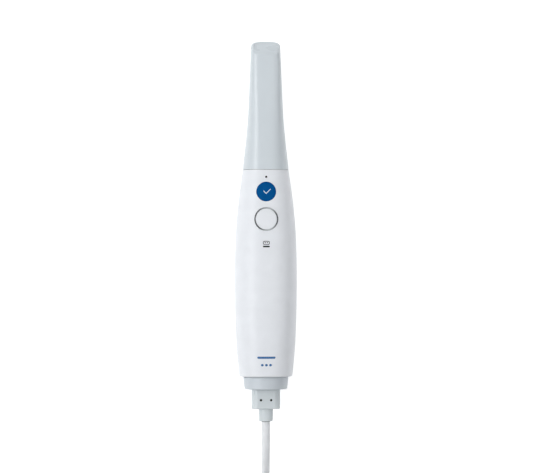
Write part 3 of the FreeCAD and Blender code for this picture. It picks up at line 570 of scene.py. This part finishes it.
def make_prints():
    """Plain marks in place of any lettering: a bar and dots, and a small pictogram."""
    graph = bpy.context.evaluated_depsgraph_get()
    tree = BVHTree.FromObject(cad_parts["front_shell"], graph)

    def height(x, y):
        return tree.ray_cast(Vector((x, y, 1.0)), Vector((0, 0, -1)))[0].z

    blue = ink_look("ink_blue", (0.03, 0.13, 0.33))
    mesh = bmesh.new()
    ribbon(mesh, pill(0, BAR_ALONG, 12.9 * MM, 1.5 * MM), height)
    for step in (-1, 0, 1):
        ribbon(mesh, pill(step * 2.9 * MM, BAR_ALONG - DOTS_STEP, 1.9 * MM, 1.7 * MM), height)
    finish_mesh("rear_print", mesh, "handle", blue)

    dark = ink_look("ink_grey", (0.008, 0.0085, 0.009))
    mesh = bmesh.new()
    ribbon(mesh, frame_outline(0, PICTOGRAM_ALONG, 4.8 * MM, 2.7 * MM, 0.45 * MM), height, True)
    for step in (-1, 1):
        ribbon(mesh, pill(step * 0.75 * MM, PICTOGRAM_ALONG + 0.1 * MM, 0.9 * MM, 0.7 * MM), height)
    ribbon(mesh, pill(0, PICTOGRAM_ALONG - 2.55 * MM, 4.9 * MM, 1.15 * MM), height)
    finish_mesh("centre_print", mesh, "handle", dark)


# ---------------------------------------------------------------- screws

SOCKET_SIDES = 6
HEAD_POINTS = 8 * SOCKET_SIDES
CAP_SCREW_WIDTH = 2.0 * MM


def screw_heads(name, places, into, diameter, body, replaced, slot, looks):
    """Round heads with a socket, their flat faces looking against the direction into."""
    mesh = bmesh.new()
    into = Vector(into)
    side = into.orthogonal().normalized()
    up = into.cross(side)
    radius = diameter / 2
    half_side = math.pi / SOCKET_SIDES

    def ring(reach, depth, many_sided=False):
        out = []
        for index in range(HEAD_POINTS):
            angle = 2 * math.pi * index / HEAD_POINTS
            local = (angle + half_side) % (2 * half_side) - half_side
            length = reach * math.cos(half_side) / math.cos(local) if many_sided else reach
            out.append(side * length * math.cos(angle) + up * length * math.sin(angle) + into * depth)
        return out

    rings = [
        ring(radius * 0.98, 1.2 * MM), ring(radius * 0.98, 0.12 * MM), ring(radius * 0.86, 0),
        ring(radius * 0.60, 0, True), ring(radius * 0.56, 0.05 * MM, True),
        ring(radius * 0.56, 0.5 * MM, True), ring(radius * 0.2, 0.6 * MM),
    ]
    for place in places:
        skin(mesh, [[Vector(place) + offset for offset in offsets] for offsets in rings])
    piece = finish_mesh(name, mesh, body, looks[slot])
    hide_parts(replaced)


def make_screws(looks):
    """The plug's two screws, looking up, and the rear cap's four, looking back."""
    low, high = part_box("plug_screws")
    wide = high[1] - low[1]
    across = high[0] - wide / 2
    places = [(side * across, low[1] + wide / 2, high[2]) for side in (-1, 1)]
    screw_heads("plug_screw_heads", places, (0, 0, -1), wide, "cable", "plug_screws", "dark_plastic", looks)
    low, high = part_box("rear_cap_screws")
    inset = CAP_SCREW_WIDTH / 2
    places = [(x, low[1], z) for x in (low[0] + inset, high[0] - inset)
              for z in (low[2] + inset, high[2] - inset)]
    screw_heads("rear_screw_heads", places, (0, 1, 0), CAP_SCREW_WIDTH, "handle", "rear_cap_screws",
                "steel", looks)


# ---------------------------------------------------------------- painted shadow at the boot's mouth

# Sizes of the dark ring that paints the shadow in the boot's mouth.
SHADOW_RING_STANDS_OUT = 0.32 * MM
SHADOW_RING_ROOT = 0.6 * MM
SHADOW_RING_LIP = 0.3 * MM
SHADOW_RING_BEVEL = 0.1 * MM


def make_boot_shadow_ring(looks):
    """A thin dark ring round the cable where it leaves the boot's mouth: a painted shadow for the shade in
    the gap there.
    """
    low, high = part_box("cable_boot")
    mouth = Vector((0, low[1], (low[2] + high[2]) / 2))
    inner = CABLE_WIDTH / 2 - SHADOW_RING_LIP
    outer = CABLE_WIDTH / 2 + SHADOW_RING_LIP
    outline = [(inner, SHADOW_RING_ROOT), (outer, SHADOW_RING_ROOT), (outer, -SHADOW_RING_STANDS_OUT / 2),
               (outer - SHADOW_RING_BEVEL, -SHADOW_RING_STANDS_OUT), (inner, -SHADOW_RING_STANDS_OUT)]
    mesh = bmesh.new()
    skin(mesh, [[mouth + Vector((x, along, z)) for x, z in oval(radius, radius, 2.0)]
                for radius, along in outline])
    # Painted shadow: dark plastic put where the gap's shade falls.
    finish_mesh("boot_shadow_ring", mesh, "cable", looks["dark_plastic"])


# ---------------------------------------------------------------- tie strap

STRAP_WIDTH = 12.0 * MM
STRAP_THICK = 0.9 * MM
STRAP_HALF = 13.8 * MM
STRAP_LOW = 0.75 * MM
STRAP_HIGH = 19.9 * MM
STRAP_CORNER = 3.0 * MM
STRAP_LEAN = 0.12
TAB_LIFT = 0.9 * MM
TAB_TURN = 10.0


def strap_path():
    """The strap's middle line in the XZ plane, with its outward normals.

    It starts on top of the bundle, goes once round it, passes over its own start and
    ends in a tab that lifts a little.
    """
    steps = []
    for index in range(14):
        steps.append((7.0 * MM - index * 1.2 * MM, STRAP_HIGH, 90.0))
    side = STRAP_HALF - STRAP_CORNER
    floor = STRAP_LOW + STRAP_CORNER
    top = STRAP_HIGH - STRAP_CORNER
    corner_steps = 8
    for x, z, start in ((-side, top, 90), (-side, floor, 180), (side, floor, 270), (side, top, 360)):
        for index in range(corner_steps + 1):
            angle = start + 90 * index / corner_steps
            turn = math.radians(angle)
            steps.append((x + STRAP_CORNER * math.cos(turn), z + STRAP_CORNER * math.sin(turn), angle))
    step_up = 1.02 * STRAP_THICK
    for index in range(1, 20):
        tab = ease((index - 15) / 4)
        rise = step_up * ease(index / 3) + TAB_LIFT * tab ** 2
        steps.append((8.0 * MM - index * MM, STRAP_HIGH + rise, 90.0 + TAB_TURN * tab))
    return steps


def make_strap(looks):
    """The strap, its top leaning with the cable's last stretch that climbs out under it."""
    profile = oval(STRAP_WIDTH / 2, STRAP_THICK / 2, 7.0, 28)
    rings = []
    for x, z, angle in strap_path():
        normal = Vector((math.cos(math.radians(angle)), 0, math.sin(math.radians(angle))))
        base = Vector((x, HANK_CENTRE, z))
        lean = STRAP_LEAN * max(0.0, normal.z)
        rings.append([base + Vector((0, across, lean * across)) + normal * up for across, up in profile])
    mesh = bmesh.new()
    skin(mesh, rings)
    strap = finish_mesh("tie_strap", mesh, "cable", looks["tie_fabric"])
    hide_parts("cable_tie")


# ---------------------------------------------------------------- hub plug

# Rings along the grip: share of its length, shares of its half width and half height, and
# the power of the superellipse.
GRIP_SHOULDER = [
    (0.0, 0.66, 0.72, 2.6),
    (0.02, 0.78, 0.84, 2.8),
    (0.06, 0.90, 0.93, 3.2),
    (0.12, 0.96, 0.97, 3.6),
]
GRIP_FRONT = [
    (0.78, 0.985, 0.99, 4.2),
    (0.93, 1.0, 1.0, 4.4),
    (0.975, 0.985, 0.98, 4.4),
    (0.995, 0.94, 0.92, 4.2),
    (1.0, 0.88, 0.84, 4.0),
]
GRIP_GROOVES = 7
GROOVE_START = 0.20
GROOVE_PITCH = 0.075
GROOVE_SPAN = 0.055
RELIEF_RINGS = 4
RELIEF_LENGTH = 9.0 * MM


def make_grip(looks):
    """The far plug's moulded grip: grooved for the fingers, with a ringed strain relief."""
    low, high = (Vector(corner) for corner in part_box("hub_plug_grip"))
    centre = (low + high) / 2
    half_w, half_h = (high.x - low.x) / 2, (high.z - low.z) / 2
    length = high.y - low.y
    cord = CABLE_WIDTH / 2
    rings = []

    def ring(y, wide, tall, power):
        rings.append([Vector((centre.x + a, y, centre.z + b)) for a, b in oval(wide, tall, power)])

    def round_ring(y, radius, power):
        ring(y, radius, radius, power)

    def grip_rings(rows):
        for share, wide, tall, power in rows:
            ring(low.y + share * length, half_w * wide, half_h * tall, power)

    round_ring(low.y - RELIEF_LENGTH, cord * 1.02, 2.0)
    round_ring(low.y - RELIEF_LENGTH + 0.2 * MM, cord * 1.14, 2.0)
    for index in range(RELIEF_RINGS):
        start = low.y - (8.0 - 1.9 * index) * MM
        radius = cord * (1.18 + 0.07 * index)
        for offset, swell in ((0.0, 1.0), (0.25, 1.10), (1.05, 1.12), (1.3, 1.02)):
            round_ring(start + offset * MM, radius * swell, 2.1)
    grip_rings(GRIP_SHOULDER)
    for index in range(GRIP_GROOVES):
        start = low.y + length * (GROOVE_START + GROOVE_PITCH * index)
        for offset, wide in ((0.0, 0.965), (0.25, 0.925), (0.75, 0.925), (1.0, 0.965)):
            ring(start + offset * GROOVE_SPAN * length, half_w * wide, half_h * (wide + 0.025), 4.0)
    grip_rings(GRIP_FRONT)
    mesh = bmesh.new()
    skin(mesh, rings)
    grip = finish_mesh("hub_plug_cover", mesh, "cable", looks["block_grey"], 50.0)
    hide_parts("hub_plug_grip")
    return grip


# ---------------------------------------------------------------- floor and lights

FLOOR_RADIUS = 4.0
BACKDROP_RADIUS = 15.0
FLOOR_CLEARANCE = 0.02 * MM
WHITE = (1, 1, 1, 1)


def stage_piece(name, mesh, look):
    data = bpy.data.meshes.new(name)
    mesh.to_mesh(data)
    mesh.free()
    data.materials.append(look.material)
    piece = bpy.data.objects.new(name, data)
    scene.collection.objects.link(piece)
    return piece


def make_floor():
    """A disc of pale paper just under the lowest point of the object."""
    look = Look("floor_paper", Emission_Color=WHITE, Emission_Strength=0.55)
    fibres = look.noise(3 * MM, 4.0)
    look.colour(look.between(look.spread(fibres, 0, 1), (0.735, 0.735, 0.735), (0.75, 0.75, 0.75)))
    look.rough(look.spread(fibres, 0.85, 0.95))
    mesh = bmesh.new()
    bmesh.ops.create_circle(mesh, cap_ends=True, segments=96, radius=FLOOR_RADIUS)
    floor = stage_piece("floor", mesh, look)
    floor.location.z = -FLOOR_CLEARANCE


def make_backdrop():
    """A pale dome past the floor's edge. It is seen in low views and lights nothing."""
    mesh = bmesh.new()
    bmesh.ops.create_uvsphere(mesh, u_segments=64, v_segments=32, radius=BACKDROP_RADIUS)
    look = Look("backdrop_paper", Emission_Color=WHITE, Emission_Strength=0.6)
    backdrop = stage_piece("backdrop", mesh, look)
    backdrop.visible_diffuse = False
    backdrop.visible_glossy = False
    backdrop.visible_transmission = False
    backdrop.visible_shadow = False


def add_light(name, place, size, power):
    """A soft rectangle of light that faces the origin."""
    data = bpy.data.lights.new(name, "AREA")
    data.shape = "RECTANGLE"
    data.size, data.size_y = size
    data.energy = power
    light = bpy.data.objects.new(name, data)
    light.location = place
    aim = Vector((0, 0, 0)) - Vector(place)
    light.rotation_mode = "QUATERNION"
    light.rotation_quaternion = aim.to_track_quat("-Z", "Y")
    scene.collection.objects.link(light)


def make_lights():
    world = bpy.data.worlds.new("studio")
    world.use_nodes = True
    background = world.node_tree.nodes["Background"]
    background.inputs["Color"].default_value = (0.985, 0.995, 1.0, 1.0)
    background.inputs["Strength"].default_value = 0.06
    scene.world = world
    add_light("side", (-1.37, 0, 0.85), (1.0, 1.9), 3.6)
    add_light("top", (0, 0, 2.6), (1.0, 1.9), 4.0)
    add_light("upper_left", (-1.22, 0, 1.38), (1.9, 0.6), 18.0)
    add_light("upper_right", (0.95, 0, 1.6), (1.0, 1.9), 10.9)
    add_light("front", (0, 1.5, 1.15), (1.6, 1.0), 9.8)
    add_light("rear", (0, -1.6, 1.2), (1.6, 1.0), 4.6)
    scene.view_settings.view_transform = "Standard"


make_camera()
cable = make_cable()
looks = make_looks()
dress_nodes(looks)
cable.data.materials.append(looks["cable_jacket"])
make_prints()
make_screws(looks)
make_boot_shadow_ring(looks)
make_strap(looks)
grip = make_grip(looks)
make_floor()
make_backdrop()
make_lights()
